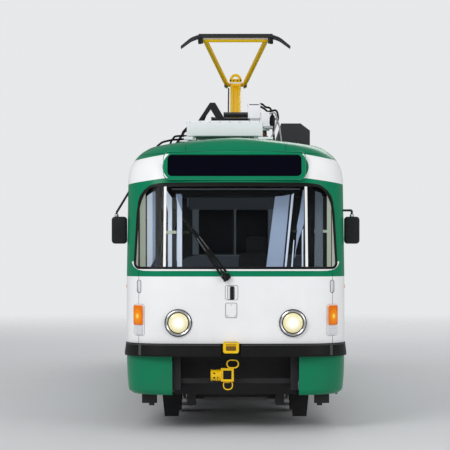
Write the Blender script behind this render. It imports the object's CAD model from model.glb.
import bmesh
import bpy
import numpy as np
from math import cos, pi, radians, sin, tan
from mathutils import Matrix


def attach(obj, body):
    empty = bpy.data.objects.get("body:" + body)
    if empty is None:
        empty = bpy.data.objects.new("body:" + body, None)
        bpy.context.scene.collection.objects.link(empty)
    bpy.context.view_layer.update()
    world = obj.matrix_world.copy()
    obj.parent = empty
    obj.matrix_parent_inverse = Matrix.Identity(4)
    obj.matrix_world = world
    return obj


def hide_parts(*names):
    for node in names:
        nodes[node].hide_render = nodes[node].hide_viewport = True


# Single ended tram: looks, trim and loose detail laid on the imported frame. Metres.
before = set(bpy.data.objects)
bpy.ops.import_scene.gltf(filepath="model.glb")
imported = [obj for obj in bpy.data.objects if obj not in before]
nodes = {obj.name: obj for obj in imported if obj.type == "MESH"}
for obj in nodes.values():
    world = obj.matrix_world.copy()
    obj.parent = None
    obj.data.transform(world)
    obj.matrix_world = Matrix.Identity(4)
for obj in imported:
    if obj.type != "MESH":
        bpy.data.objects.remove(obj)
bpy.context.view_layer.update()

# Sizes of the body that the added pieces follow
body_half = 1.25
drip_z = 2.85
crown_z = 3.35
roof_corner = 0.42
face_y = -6.93
belt_z = 1.79
rake = radians(15.5)
dome_radius = 0.54
nose_corner = 0.49
bulge = radians(5)
door_places = (-5.3, 0.0, 5.3)
bogie_places = (("front_bogie", -3.2), ("rear_bogie", 3.2))
axle_places = (-4.15, -2.25, 2.25, 4.15)
axle_z = 0.377
floor_z = 0.90
corner_x = body_half - roof_corner
roof_rise = crown_z - drip_z
crown_radius = (roof_rise**2 + corner_x**2 - roof_corner**2) / (2 * (roof_rise - roof_corner))
crown_centre = crown_z - crown_radius
crown_slope = (drip_z - crown_centre) / (crown_radius - roof_corner)
dome_centre_z = crown_z - dome_radius
dome_foot_z = dome_centre_z + dome_radius * sin(rake)
dome_centre_y = face_y + (dome_foot_z - belt_z) * tan(rake) + dome_radius * cos(rake)


# Shapes. Each is a pair: an array of points and a list of faces
def grid(points, round_u=False, round_v=False, caps=False):
    """Square faces over points with two running numbers, closed round u or v, with flat ends."""
    rows, cols = points.shape[:2]
    u = np.arange(rows if round_u else rows - 1)[:, None]
    v = np.arange(cols if round_v else cols - 1)[None, :]
    next_u, next_v = (u + 1) % rows, (v + 1) % cols
    corners = [u * cols + v, u * cols + next_v, next_u * cols + next_v, next_u * cols + v]
    faces = np.stack([c.ravel() for c in np.broadcast_arrays(*corners)], 1).tolist()
    if caps:
        faces.append(list(range(cols))[::-1])
        faces.append(list(range((rows - 1) * cols, rows * cols)))
    return points.reshape(-1, 3), faces


def join(*shapes):
    """One shape from several."""
    starts = np.cumsum([0] + [len(points) for points, _ in shapes])
    faces = [[i + start for i in face] for (_, made), start in zip(shapes, starts.tolist()) for face in made]
    return np.concatenate([points for points, _ in shapes]), faces


def shifted(shape, places):
    """Copies of a shape at several places."""
    return join(*[(shape[0] + np.array(place, float), shape[1]) for place in places])


def mirrored(shape, axis=0):
    """A shape and its reflection across the middle plane of one axis."""
    flip = np.ones(3)
    flip[axis] = -1
    return join(shape, (shape[0] * flip, shape[1]))


def onto(shape, origin, right=(1, 0, 0), up=(0, 0, 1)):
    """Lays local sideways, upward and outward measures on a plane at a place."""
    right, up = np.array(right, float), np.array(up, float)
    return shape[0] @ np.array([right, up, np.cross(right, up)]) + np.array(origin, float), shape[1]


def rounded(wide, tall, radius, steps=6):
    """Outline of a rounded rectangle: four quarter circles about the inner corners."""
    turn = np.linspace(0, pi / 2, steps + 1)[None, :] + np.arange(4)[:, None] * pi / 2
    side = np.array([[1, 1], [-1, 1], [-1, -1], [1, -1]])[:, None, :]
    centre = side * np.array([wide / 2 - radius, tall / 2 - radius])
    return (centre + radius * np.stack([np.cos(turn), np.sin(turn)], 2)).reshape(-1, 2)


def block(wide, tall, deep, radius=0.01, edge=0.004, steps=5):
    """Rounded block: its outline drawn in along a quarter circle at the front edge."""
    bend = np.linspace(0, pi / 2, 4)
    draw = np.concatenate([[0], edge * (1 - np.cos(bend))])
    out = np.concatenate([[0], deep - edge + edge * np.sin(bend)])
    rings = [np.column_stack([rounded(wide - 2 * d, tall - 2 * d, max(radius - d, 0.0004), steps),
                              np.full(4 * (steps + 1), o)]) for d, o in zip(draw, out)]
    return grid(np.array(rings), round_v=True, caps=True)


def box(x0, x1, y0, y1, z0, z1, radius=0.012, edge=0.008):
    """Upright block between six limits, rounded at its corners and along its top."""
    shape = block(x1 - x0, y1 - y0, z1 - z0, radius, edge)
    return shape[0] + np.array([(x0 + x1) / 2, (y0 + y1) / 2, z0]), shape[1]


def tube(path, radius, sides=12):
    """Circle carried along a path, square to the path's direction at each point."""
    nearly_up = (0.02, 0.03, 1)
    path = np.array(path, float)
    run = np.gradient(path, axis=0)
    run /= np.linalg.norm(run, axis=1)[:, None]
    side = np.cross(run, nearly_up)
    side /= np.linalg.norm(side, axis=1)[:, None]
    rise = np.cross(side, run)
    turn = np.linspace(0, 2 * pi, sides, endpoint=False)
    radius = np.broadcast_to(radius, len(path))[:, None, None]
    rim = side[:, None] * np.cos(turn)[:, None] + rise[:, None] * np.sin(turn)[:, None]
    return grid(path[:, None] + radius * rim, round_v=True, caps=True)


def flowing(points, steps=8):
    """Smooth path through points: the cubic whose slope at each point joins its neighbours."""
    points = np.array(points, float)
    padded = np.vstack([2 * points[0] - points[1], points, 2 * points[-1] - points[-2]])
    a, b, c, d = (padded[i:len(padded) - 3 + i, None] for i in range(4))
    t = np.linspace(0, 1, steps, endpoint=False)[None, :, None]
    curve = 0.5 * (2 * b + (c - a) * t + (2 * a - 5 * b + 4 * c - d) * t**2 + (3 * b - a - 3 * c + d) * t**3)
    return np.vstack([curve.reshape(-1, 3), points[-1:]])


def swept(path, section, ref=(0, 0, 1), closed=False):
    """A flat section carried along a path; its first measure points sideways, its second along ref."""
    path = np.array(path, float)
    run = (np.roll(path, -1, 0) - np.roll(path, 1, 0)) if closed else np.gradient(path, axis=0)
    run /= np.linalg.norm(run, axis=1)[:, None]
    side = np.cross(run, np.array(ref, float))
    side /= np.linalg.norm(side, axis=1)[:, None]
    rise = np.cross(side, run)
    section = np.array(section, float)
    rim = side[:, None] * section[None, :, :1] + rise[:, None] * section[None, :, 1:]
    return grid(path[:, None] + rim, round_u=closed, round_v=True, caps=not closed)


def rim_round(axis, count):
    """The axis at unit length, and unit steps square to it at equal turns."""
    axis = np.array(axis, float) / np.linalg.norm(axis)
    side = np.cross(axis, (0.3, 0.2, 0.93) if abs(axis[2]) < 0.9 else (1, 0, 0))
    side /= np.linalg.norm(side)
    turn = np.linspace(0, 2 * pi, count, endpoint=False)[:, None]
    return axis, np.cos(turn) * side + np.sin(turn) * np.cross(axis, side)


def turned(profile, origin, axis=(0, -1, 0), sides=24):
    """Turned form: each radius and height of the profile carried round an axis."""
    axis, rim = rim_round(axis, sides)
    profile = np.array(profile, float)
    points = np.array(origin, float) + profile[:, None, :1] * rim + profile[:, None, 1:] * axis
    return grid(points, round_v=True, caps=True)


def hoop(origin, radius, thick, axis=(0, -1, 0), steps=28, sides=8):
    """Ring: a small circle carried round a large one."""
    turn = np.linspace(0, 2 * pi, sides, endpoint=False)
    small = np.column_stack([radius + thick * np.cos(turn), thick * np.sin(turn)])
    axis, rim = rim_round(axis, steps)
    points = np.array(origin, float) + rim[:, None] * small[None, :, :1] + axis * small[None, :, 1:]
    return grid(points, round_u=True, round_v=True)


def coil(foot, top, radius, wire, turns):
    """Spring: a point that goes round while it climbs from foot to top."""
    t = np.linspace(0, 1, int(turns * 14))
    foot, top = np.array(foot, float), np.array(top, float)
    turn = 2 * pi * turns * t
    around = np.column_stack([np.cos(turn), np.sin(turn), 0 * t])
    return tube(foot + (top - foot) * t[:, None] + radius * around, wire, 6)


def bolts(places, radius=0.009, tall=0.006, axis=(0, -1, 0)):
    """Domed bolt heads with six flats, all standing the same way."""
    head = turned([(0, 0), (radius, 0), (radius, tall * 0.7), (radius * 0.8, tall), (0, tall)], (0, 0, 0), axis, 6)
    return shifted(head, places)


# The nose as a surface: depth from sideways place and height
def half_width(z):
    """Half the body's width: upright side, then the roof's corner arc, then its crown arc."""
    corner = corner_x + np.sqrt(np.maximum(roof_corner**2 - (z - drip_z)**2, 0))
    crown = np.sqrt(np.maximum(crown_radius**2 - (z - crown_centre)**2, 0))
    edge_z = crown_centre + crown_radius * crown_slope
    return np.where(z <= drip_z, body_half, np.where(z <= edge_z, corner, crown))


def front_y(z):
    """The nose's foremost line: upright below the belt, raked above it, then the dome's arc."""
    dome = dome_centre_y - np.sqrt(np.maximum(dome_radius**2 - (z - dome_centre_z)**2, 0))
    raked = face_y + (z - belt_z) * tan(rake)
    return np.where(z <= belt_z, face_y, np.where(z <= dome_foot_z, raked, dome))


def plan_y(x, half, front, corner):
    """Depth at a sideways place: a slight bow across the front between two corner arcs."""
    x = np.abs(np.asarray(x, float))
    flat = half - corner * (1 - sin(bulge))
    bow = flat / sin(bulge)
    corner_y = front + flat * tan(bulge / 2) + corner * cos(bulge)
    across = front + bow - np.sqrt(np.maximum(bow**2 - x**2, 0))
    round_corner = corner_y - np.sqrt(np.maximum(corner**2 - (x - half + corner)**2, 0))
    return np.where(x <= flat, across, round_corner)


def nose_y(x, z):
    """Depth of the skin at a sideways place and a height."""
    z = np.asarray(z, float)
    half = half_width(z)
    return plan_y(x, half, front_y(z), np.minimum(nose_corner, 0.9 * half))


def on_bumper(shape, x, z):
    """Bends a flat shape onto the face of the front bumper."""
    points, faces = shape
    across, up = x + points[:, 0], z + points[:, 1]
    foot_z, rise, half, front, corner = 0.870, 0.118, 1.272, -7.0, 0.53
    taper = np.clip((up - foot_z) / rise, 0, 1)
    depth = plan_y(across, half - 0.016 * taper, front + 0.014 * taper, corner - 0.014 * taper)
    return np.column_stack([across, depth - points[:, 2], up]), faces


def on_nose(shape, x, z, proud=0.0):
    """Bends a flat shape onto the nose, so that its outward measure stands off the skin."""
    points, faces = shape
    across, up = x + points[:, 0], z + points[:, 1]
    return np.column_stack([across, nose_y(across, up) - points[:, 2] - proud, up]), faces


def make_piece(name, shape, finish, body="tram_body", sharp=35):
    """One object of the scene: doubles merged, faces turned outwards, smooth below an angle."""
    points, faces = shape
    mesh = bpy.data.meshes.new(name)
    mesh.from_pydata(points.tolist(), [], faces)
    work = bmesh.new()
    work.from_mesh(mesh)
    bmesh.ops.remove_doubles(work, verts=work.verts, dist=2e-5)
    bmesh.ops.recalc_face_normals(work, faces=work.faces)
    work.to_mesh(mesh)
    work.free()
    mesh.polygons.foreach_set("use_smooth", [True] * len(mesh.polygons))
    mesh.set_sharp_from_angle(angle=radians(sharp))
    piece = bpy.data.objects.new(name, mesh)
    bpy.context.scene.collection.objects.link(piece)
    mesh.materials.append(finish)
    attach(piece, body)
    return piece


class Wiring:
    """Adds nodes to one node tree and links them as they are made."""

    def __init__(self, tree):
        self.tree = tree

    def add(self, kind, values=None, **props):
        made = self.tree.nodes.new("ShaderNode" + kind)
        for name, value in props.items():
            setattr(made, name, value)
        for key, value in (values or {}).items():
            if isinstance(value, bpy.types.NodeSocket):
                self.tree.links.new(value, made.inputs[key])
            else:
                made.inputs[key].default_value = value
        return made

    def math(self, operation, *values):
        return self.add("Math", dict(enumerate(values)), operation=operation).outputs[0]

    def times(self, a, b):
        return self.math("MULTIPLY", a, b)

    def all_of(self, a, b, c):
        return self.times(self.times(a, b), c)

    def plus(self, a, b):
        return self.math("ADD", a, b)

    def minus(self, a, b):
        return self.math("SUBTRACT", a, b)

    def most(self, a, b):
        return self.math("MAXIMUM", a, b)

    def size(self, value):
        return self.math("ABSOLUTE", value)

    def zigzag(self, value, top):
        return self.math("PINGPONG", value, top)

    def reach(self, a, b):
        """Distance from two measures square to each other."""
        return self.math("SQRT", self.plus(self.times(a, a), self.times(b, b)))

    def place(self):
        """The three measures of the surface point."""
        return self.add("SeparateXYZ", {0: self.add("TexCoord").outputs["Object"]}).outputs

    def normal(self):
        return self.add("SeparateXYZ", {0: self.add("NewGeometry").outputs["Normal"]}).outputs

    def spread(self, value, low, high, top=1.0):
        """Nought to top laid out evenly from low to high."""
        return self.add("MapRange", {"Value": value, "From Max": top, "To Min": low, "To Max": high}).outputs[0]

    def bump(self, height, strength, distance, normal=None):
        sockets = {"Strength": strength, "Distance": distance, "Height": height}
        if normal:
            sockets["Normal"] = normal
        return self.add("Bump", sockets).outputs[0]

    def feed(self, target, **sources):
        """Links or sets named inputs of a node; an underscore stands for a space."""
        for label, source in sources.items():
            socket = target[label.replace("_", " ")]
            if isinstance(source, bpy.types.NodeSocket):
                self.tree.links.new(source, socket)
            else:
                socket.default_value = source

    def dot(self, a, b):
        return self.add("VectorMath", {0: a, 1: b}, operation="DOT_PRODUCT").outputs["Value"]

    def mix(self, share, a, b):
        return self.add("Mix", {0: share, 6: a, 7: b}, data_type="RGBA").outputs[2]

    def step(self, value, low, high):
        """Nought at low, one at high, smooth between."""
        return self.add("MapRange", {"Value": value, "From Min": low, "From Max": high},
                        interpolation_type="SMOOTHSTEP").outputs[0]

    def sharp(self, value, soft=0.0015):
        """One where the value is above nought, with a hair of softness."""
        return self.step(value, -soft, soft)

    def between(self, value, low, high, soft=0.0015):
        """One between two limits of a measure."""
        return self.times(self.step(value, low - soft, low + soft), self.step(value, high + soft, high - soft))

    def line(self, value, place, half):
        """A narrow mark at one place of a measure."""
        away = self.size(self.minus(value, place))
        return self.step(away, half, half * 0.4)

    def spots(self, scale, detail=3.0, stretch=None, rough=0.55):
        place = self.add("TexCoord").outputs["Object"]
        if stretch:
            place = self.add("Mapping", {"Vector": place, "Scale": stretch}).outputs[0]
        return self.add("TexNoise", {"Vector": place, "Scale": scale, "Detail": detail,
                                     "Roughness": rough}).outputs["Fac"]


def effect(name, takes, gives):
    """A shared node group with named sockets; returns it with its wiring, its inputs and its output node."""
    group = bpy.data.node_groups.new(name, "ShaderNodeTree")
    for label, kind, value in takes:
        socket = group.interface.new_socket(label, in_out="INPUT", socket_type="NodeSocket" + kind)
        socket.default_value = value
    for label, kind in gives:
        group.interface.new_socket(label, in_out="OUTPUT", socket_type="NodeSocket" + kind)
    start = group.nodes.new("NodeGroupInput")
    end = group.nodes.new("NodeGroupOutput")
    return group, Wiring(group), start.outputs, end.inputs


def colour(red, green, blue):
    """Linear colour from the eight bit values that a screen shows."""
    part = np.array([red, green, blue]) / 255
    linear = np.where(part <= 0.04045, part / 12.92, ((part + 0.055) / 1.055)**2.4)
    return (*linear.tolist(), 1.0)


# Edges: where a rounded normal leaves the true one, the surface is near a corner
edge_group, w, takes, gives = effect("edge finder", [("Radius", "Float", 0.006)],
                                     [("Edge", "Float"), ("Normal", "Vector")])
soft = w.add("Bevel", {"Radius": takes["Radius"]}, samples=4).outputs[0]
true = w.add("NewGeometry").outputs["Normal"]
w.feed(gives, Edge=w.step(w.dot(soft, true), 0.985, 0.86), Normal=soft)

# Weather: cloudy tone, rain streaks, road dirt that thins with height, and dust on upward faces
weather_group, w, takes, gives = effect(
    "weather", [("Paint", "Color", (1, 1, 1, 1)), ("Dust", "Color", (0.1, 0.09, 0.08, 1)), ("Amount", "Float", 0.5)],
    [("Color", "Color"), ("Dirt", "Float"), ("Grain", "Float")])
place = w.place()
cloud = w.spots(1.4, 5.0)
speck = w.spots(60.0, 4.0)
streak = w.step(w.spots(7.0, 4.0, (1.0, 1.0, 0.06)), 0.5, 0.78)
low_dirt = w.times(w.step(place["Z"], 1.35, 0.2), w.step(w.plus(cloud, w.times(speck, 0.5)), 0.5, 1.0))
settled = w.times(w.step(w.normal()["Z"], 0.5, 1.0), w.step(cloud, 0.3, 0.8))
dirt = w.plus(w.times(streak, 0.16), w.plus(w.times(low_dirt, 0.8), w.times(settled, 0.5)))
dirt = w.times(dirt, takes["Amount"])
toned = w.mix(w.times(w.step(cloud, 0.35, 0.75), 0.07), takes["Paint"], (0.02, 0.02, 0.02, 1))
w.feed(gives, Color=w.mix(dirt, toned, takes["Dust"]), Dirt=dirt,
       Grain=w.plus(w.times(w.spots(340.0, 2.0), 0.5), w.times(speck, 0.5)))

paint_green = colour(0, 127, 87)
paint_white = colour(246, 246, 246)
band_edges = (0.988, 1.740)

# Livery: green body, white waist band and white band under the roof, with panel seams
livery_group, w, takes, gives = effect(
    "livery", [("Green", "Color", paint_green), ("White", "Color", paint_white)],
    [("Color", "Color"), ("Inside", "Float"), ("Seam", "Float")])
texture = w.add("TexCoord").outputs
place = w.add("SeparateXYZ", {0: texture["Object"]}).outputs
side = w.size(place["X"])
end = w.size(place["Y"])
height = place["Z"]
waist = w.between(height, *band_edges)
bend_x, band_foot, band_top, sign_z = 0.81, 2.857, 3.135, 2.99
out = w.most(w.minus(side, bend_x), 0.0)
band_low = w.minus(band_foot, w.times(out, 0.13))
band_high = w.minus(band_top, w.times(out, 0.156))
cantrail = w.times(w.sharp(w.minus(height, band_low)), w.sharp(w.minus(band_high, height)))
from_middle = w.minus(height, sign_z)
band_end = w.minus(0.835, w.times(3.6, w.times(from_middle, from_middle)))
beside_sign = w.most(w.sharp(w.minus(side, band_end)), w.step(place["Y"], -6.0, -5.99))
white_share = w.most(waist, w.times(cantrail, beside_sign))
outward = w.dot(w.add("NewGeometry").outputs["Normal"],
                w.add("VectorMath", {0: w.add("VectorMath", {0: texture["Object"], 1: (0, 0, 2.0)},
                                              operation="SUBTRACT").outputs[0], 1: (1, 0.2, 0.35)},
                      operation="MULTIPLY").outputs[0])
inside = w.step(outward, -0.02, -0.1)
below_screen = w.step(height, 1.822, 1.815)
on_nose_only = w.step(end, 6.1, 6.11)
above_bumper = w.step(height, 0.985, 0.99)
between_ends = w.step(end, 5.9, 5.89)
nose_seam = w.all_of(w.line(side, 1.095, 0.0035), w.times(below_screen, on_nose_only), above_bumper)
visor = w.times(w.line(w.plus(height, w.times(side, 0.035)), 3.178, 0.0045), on_nose_only)
visor_end = w.all_of(w.line(side, 0.575, 0.004), w.between(height, 3.17, 3.26), on_nose_only)
wall_joint = w.line(w.zigzag(w.plus(place["Y"], 0.65), 1.9865), 0.0, 0.003)
wall_seam = w.all_of(wall_joint, w.step(height, 1.76, 1.75), between_ends)
rail_seam = w.times(w.line(height, 2.9, 0.003), w.step(end, 5.97, 5.96))
roof_seam = w.all_of(w.line(w.zigzag(place["Y"], 1.0), 0.0, 0.004), w.step(height, 2.95, 2.96), between_ends)
seam = nose_seam
for mark in (visor, visor_end, wall_seam, rail_seam, roof_seam):
    seam = w.most(seam, mark)
seam = w.times(seam, w.minus(1.0, inside))
saloon_tone = w.mix(w.step(place["Y"], -5.2, -5.35), colour(176, 178, 172), colour(62, 66, 74))
lining = w.mix(w.step(height, 0.85, 0.86), (0.012, 0.012, 0.012, 1), saloon_tone)
painted = w.mix(white_share, takes["Green"], takes["White"])
painted = w.mix(w.times(seam, 0.8), painted, (0.004, 0.006, 0.006, 1))
w.feed(gives, Color=w.mix(inside, painted, lining), Inside=inside, Seam=seam)


def new_material(name):
    """A fresh material, the wiring of its tree and the inputs of its shader."""
    material = bpy.data.materials.new(name)
    material.use_nodes = True
    return material, Wiring(material.node_tree), material.node_tree.nodes["Principled BSDF"].inputs


def deeper(tone, share):
    """The same colour with less light in it."""
    return tuple(share * part for part in tone[:3]) + (1,)


def worn_finish(name, paint, dust=(0.09, 0.08, 0.07, 1), amount=0.4, gloss=(0.3, 0.6), wear=None, bump=0.04,
                edge=0.005, **constants):
    """Painted or moulded surface with weather, worn edges and a fine grain. Gloss: clean and dirty roughness."""
    material, w, shader = new_material(name)
    weather = w.add("Group", {"Dust": dust, "Amount": amount}, node_tree=weather_group)
    edges = w.add("Group", {"Radius": edge}, node_tree=edge_group)
    grain = weather.outputs["Grain"]
    if paint == "livery":
        livery = w.add("Group", node_tree=livery_group)
        w.feed(weather.inputs, Paint=livery.outputs["Color"])
        height = w.minus(w.times(grain, 0.05), livery.outputs["Seam"])
        clean = w.spread(livery.outputs["Inside"], gloss[0], 0.6)
    else:
        w.feed(weather.inputs, Paint=paint)
        height, clean = grain, gloss[0]
    shown = weather.outputs["Color"]
    if wear:
        chips = w.times(edges.outputs["Edge"], w.step(w.spots(35.0, 4.0), 0.42, 0.6))
        shown = w.mix(w.times(chips, 0.7), shown, wear)
    rough = w.spread(weather.outputs["Dirt"], clean, gloss[1])
    w.feed(shader, Base_Color=shown, Roughness=w.plus(rough, w.times(grain, 0.06)),
           Normal=w.bump(height, 0.6, bump * 0.1, edges.outputs["Normal"]), **constants)
    return material


body_paint = worn_finish("body paint", "livery", amount=0.22, gloss=(0.27, 0.6), bump=0.02, edge=0.004,
                         Coat_Weight=0.05, Coat_Roughness=0.08, Specular_IOR_Level=0.13)
white_paint = worn_finish("white paint", paint_white, amount=0.25, gloss=(0.25, 0.5), bump=0.01)
bumper_rubber = worn_finish("bumper rubber", colour(14, 14, 15), amount=0.06, gloss=(0.42, 0.75), bump=0.03,
                            Specular_IOR_Level=0.2)
gasket_rubber = worn_finish("gasket rubber", colour(16, 16, 17), amount=0.15, gloss=(0.38, 0.6), bump=0.02,
                            edge=0.003, Specular_IOR_Level=0.2)
black_moulding = worn_finish("black moulding", colour(26, 27, 30), amount=0.1, gloss=(0.34, 0.55), bump=0.02,
                             Specular_IOR_Level=0.3)
grey_lining = worn_finish("grey lining", colour(150, 152, 150), amount=0.1, gloss=(0.5, 0.7), bump=0.03)
dark_panel = worn_finish("dark cab panel", colour(26, 28, 32), amount=0.1, gloss=(0.5, 0.7), bump=0.03)
desk_moulding = worn_finish("desk moulding", colour(56, 60, 68), amount=0.1, gloss=(0.5, 0.7), bump=0.03,
                            Emission_Color=colour(56, 60, 68), Emission_Strength=0.3)
rail_yellow = worn_finish("handrail yellow", colour(222, 170, 30), amount=0.08, gloss=(0.25, 0.4),
                          wear=colour(150, 150, 150), bump=0.01)
frame_black = worn_finish("frame black", colour(33, 33, 36), dust=colour(72, 69, 66), amount=0.22,
                          gloss=(0.42, 0.85), wear=colour(84, 80, 76), bump=0.06, Specular_IOR_Level=0.25)
roof_grey = worn_finish("roof box white", colour(236, 234, 236), dust=colour(150, 146, 140), amount=0.18,
                        gloss=(0.35, 0.6), bump=0.02)
roof_dark = worn_finish("resistor case", colour(44, 43, 47), dust=colour(110, 104, 96), amount=0.15,
                        gloss=(0.4, 0.7), wear=colour(120, 120, 122), bump=0.04)
gold_paint = worn_finish("gold paint", colour(250, 204, 10), dust=colour(150, 108, 8), amount=0.1,
                         gloss=(0.26, 0.55), wear=colour(206, 156, 14), bump=0.02, Coat_Weight=0.15,
                         Coat_Roughness=0.1, Specular_IOR_Level=0.3)
pan_black = worn_finish("pantograph black", colour(34, 33, 36), dust=colour(100, 92, 84), amount=0.15,
                        gloss=(0.3, 0.6), wear=colour(130, 128, 126), bump=0.03)
insulator_brown = worn_finish("insulator glaze", colour(92, 46, 28), amount=0.2, gloss=(0.12, 0.5), bump=0.01)
step_paint = worn_finish("step steel", colour(92, 94, 98), dust=colour(96, 86, 74), amount=0.6,
                         gloss=(0.4, 0.8), wear=colour(170, 172, 175), bump=0.06)


def metal_finish(name, base, rough, scratch=(1.0, 1.0, 1.0), tarnish=0.2):
    """Bare metal: fine scratches along one way and dull patches."""
    material, w, shader = new_material(name)
    marks = w.spots(120.0, 3.0, scratch)
    patches = w.step(w.spots(5.0, 4.0), 0.4, 0.8)
    w.feed(shader, Base_Color=w.mix(w.times(patches, tarnish), base, deeper(base, 0.45)), Metallic=1.0,
           Roughness=w.plus(rough, w.plus(w.times(marks, 0.15), w.times(patches, 0.2))),
           Normal=w.bump(marks, 0.25, 0.001))
    return material


lamp_chrome = metal_finish("lamp chrome", (0.72, 0.72, 0.74, 1), 0.08, tarnish=0.1)
bright_metal = metal_finish("bright metal", (0.62, 0.63, 0.65, 1), 0.25, (0.2, 1, 1))
mirror_silver = metal_finish("mirror silver", (0.85, 0.86, 0.88, 1), 0.02, tarnish=0.03)
carbon = metal_finish("contact carbon", (0.06, 0.06, 0.065, 1), 0.35, (0.05, 1, 1))


def wheel_finish():
    """Wheel steel: polished where the tread runs on the rail, brown and dusty on the disc."""
    material, w, shader = new_material("wheel steel")
    tread = w.between(w.size(w.place()["X"]), 0.7, 0.796, 0.004)
    rim = w.times(tread, w.step(w.size(w.normal()["X"]), 0.35, 0.2))
    grime = w.spots(14.0, 5.0)
    disc = w.mix(w.step(grime, 0.35, 0.8), colour(54, 50, 48), colour(74, 64, 56))
    w.feed(shader, Base_Color=w.mix(rim, disc, (0.55, 0.55, 0.56, 1)), Metallic=rim,
           Roughness=w.spread(rim, 0.72, 0.25), Normal=w.bump(grime, 0.4, 0.002))
    return material


def glass_finish():
    """Clear pane: lamp light passes to what is behind it, and a faint smear of dust lies on it."""
    material, w, shader = new_material("window glass")
    smear = w.step(w.spots(3.0, 6.0), 0.45, 0.95)
    shadow = w.add("LightPath").outputs["Is Shadow Ray"]
    w.feed(shader, Base_Color=w.mix(w.times(smear, 0.12), (0.86, 0.93, 0.94, 1), (0.75, 0.76, 0.74, 1)),
           Roughness=w.times(smear, 0.02), Alpha=w.minus(1.0, w.times(shadow, 0.92)),
           Transmission_Weight=1.0, IOR=1.15)
    return material


def lens_finish(name, tint, pitch, glow, inner=None):
    """Moulded lamp glass: upright flutes and rings, deeper colour at the rim."""
    material, w, shader = new_material(name)
    place = w.place()
    flutes, bars = w.zigzag(place["X"], pitch), w.zigzag(place["Z"], pitch * 2.5)
    cell = w.plus(w.math("DIVIDE", flutes, pitch), w.math("DIVIDE", bars, pitch * 2.5))
    tone = w.mix(w.spread(cell, 0.0, 0.35, 2.0), tint, inner or deeper(tint, 0.5))
    w.feed(shader, Base_Color=tone, Emission_Color=tone, Emission_Strength=glow,
           Roughness=w.plus(0.08, w.times(w.spots(40.0), 0.06)), Normal=w.bump(cell, 0.5, 0.003),
           Coat_Weight=1.0, Coat_Roughness=0.03)
    return material


wheel_steel = wheel_finish()
window_glass = glass_finish()
lamp_lens = lens_finish("headlamp lens", colour(252, 246, 214), 0.009, 0.15, colour(214, 203, 150))
amber_lens = lens_finish("amber lens", colour(250, 150, 22), 0.006, 0.12)
red_lens = lens_finish("red lens", colour(190, 18, 16), 0.006, 0.05)
clear_lens = lens_finish("clear lens", colour(226, 228, 232), 0.006, 0.05)


def sign_finish():
    """Blank destination glass: near black with faint cells of the display behind it."""
    material, w, shader = new_material("sign glass")
    place = w.place()
    cells = w.times(w.zigzag(place["X"], 0.006), w.zigzag(place["Z"], 0.006))
    w.feed(shader, Base_Color=w.mix(w.step(cells, 0.0, 3e-5), (0.0015, 0.0015, 0.006, 1), (0.004, 0.004, 0.010, 1)),
           Roughness=w.plus(0.05, w.times(w.spots(6.0, 5.0), 0.1)), Specular_IOR_Level=0.05)
    return material


def weave_finish(name, base, fleck_tone, pitch=0.0035):
    """Seat cloth: over and under threads, a soft sheen and a pale fleck."""
    material, w, shader = new_material(name)
    place = w.place()
    warp = w.math("SINE", w.times(place["X"], 2 * pi / pitch))
    weft = w.math("SINE", w.times(w.plus(place["Y"], place["Z"]), 2 * pi / pitch))
    weave = w.times(warp, weft)
    fleck = w.step(w.spots(90.0, 2.0), 0.6, 0.68)
    threads = w.mix(w.step(weave, -0.6, 0.6), base, deeper(base, 0.6))
    w.feed(shader, Base_Color=w.mix(fleck, threads, fleck_tone), Roughness=w.plus(0.82, w.times(fleck, 0.08)),
           Normal=w.bump(weave, 0.5, 0.001), Sheen_Weight=0.3, Sheen_Roughness=0.4)
    return material


def floor_finish():
    """Ribbed rubber floor with scuffs and pale specks."""
    material, w, shader = new_material("floor covering")
    ribs = w.math("SINE", w.times(w.place()["X"], 2 * pi / 0.012))
    scuff = w.step(w.spots(2.5, 5.0), 0.4, 0.75)
    speck = w.step(w.spots(150.0, 2.0), 0.62, 0.68)
    tone = w.mix(scuff, colour(72, 74, 78), colour(100, 98, 94))
    w.feed(shader, Base_Color=w.mix(speck, tone, colour(150, 150, 148)),
           Roughness=w.plus(0.55, w.times(scuff, 0.25)), Normal=w.bump(ribs, 0.6, 0.002))
    return material


sign_glass = sign_finish()
seat_cloth = weave_finish("seat cloth", colour(58, 84, 142), colour(140, 160, 196))
floor_covering = floor_finish()

# Finish of each carried over piece
door_leaves = [f"door{number}_{leaf}" for number in (1, 2, 3) for leaf in ("a1", "a2", "b2", "b1")]
finishes = [
    (body_paint, ["front_mask", "rear_mask", "side_wall_left", "side_wall_right", "door_portals", "roof_shell",
                  "corner_skirts", "side_skirts", *door_leaves]),
    (white_paint, ["screen_posts"]),
    (bumper_rubber, ["bumpers"]),
    (gasket_rubber, ["screen_rubbers", "window_rubbers", "wiper"]),
    (window_glass, ["screen_glass", "side_glass"]),
    (sign_glass, ["sign_panel"]),
    (lamp_lens, ["headlamps"]),
    (lamp_chrome, ["lamp_rims"]),
    (amber_lens, ["turn_lamps"]),
    (red_lens, ["tail_lamps"]),
    (clear_lens, ["marker_lamps"]),
    (black_moulding, ["mirrors"]),
    (dark_panel, ["cab_partition"]),
    (desk_moulding, ["driver_desk"]),
    (seat_cloth, ["driver_seat", "passenger_seats"]),
    (floor_covering, ["floor"]),
    (step_paint, ["step_wells"]),
    (rail_yellow, ["handrails"]),
    (frame_black, ["underframe", "end_gear", "underfloor_boxes", "bogie_front", "bogie_rear", "roof_gear",
                   "cross_bearers"]),
    (wheel_steel, ["wheelset_1", "wheelset_2", "wheelset_3", "wheelset_4"]),
    (roof_grey, ["roof_boxes"]),
    (roof_dark, ["resistor_box"]),
    (gold_paint, ["couplers", "cable_sockets", "lower_arm", "upper_arm"]),
    (pan_black, ["pantograph_base", "pan_head"]),
]
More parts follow.
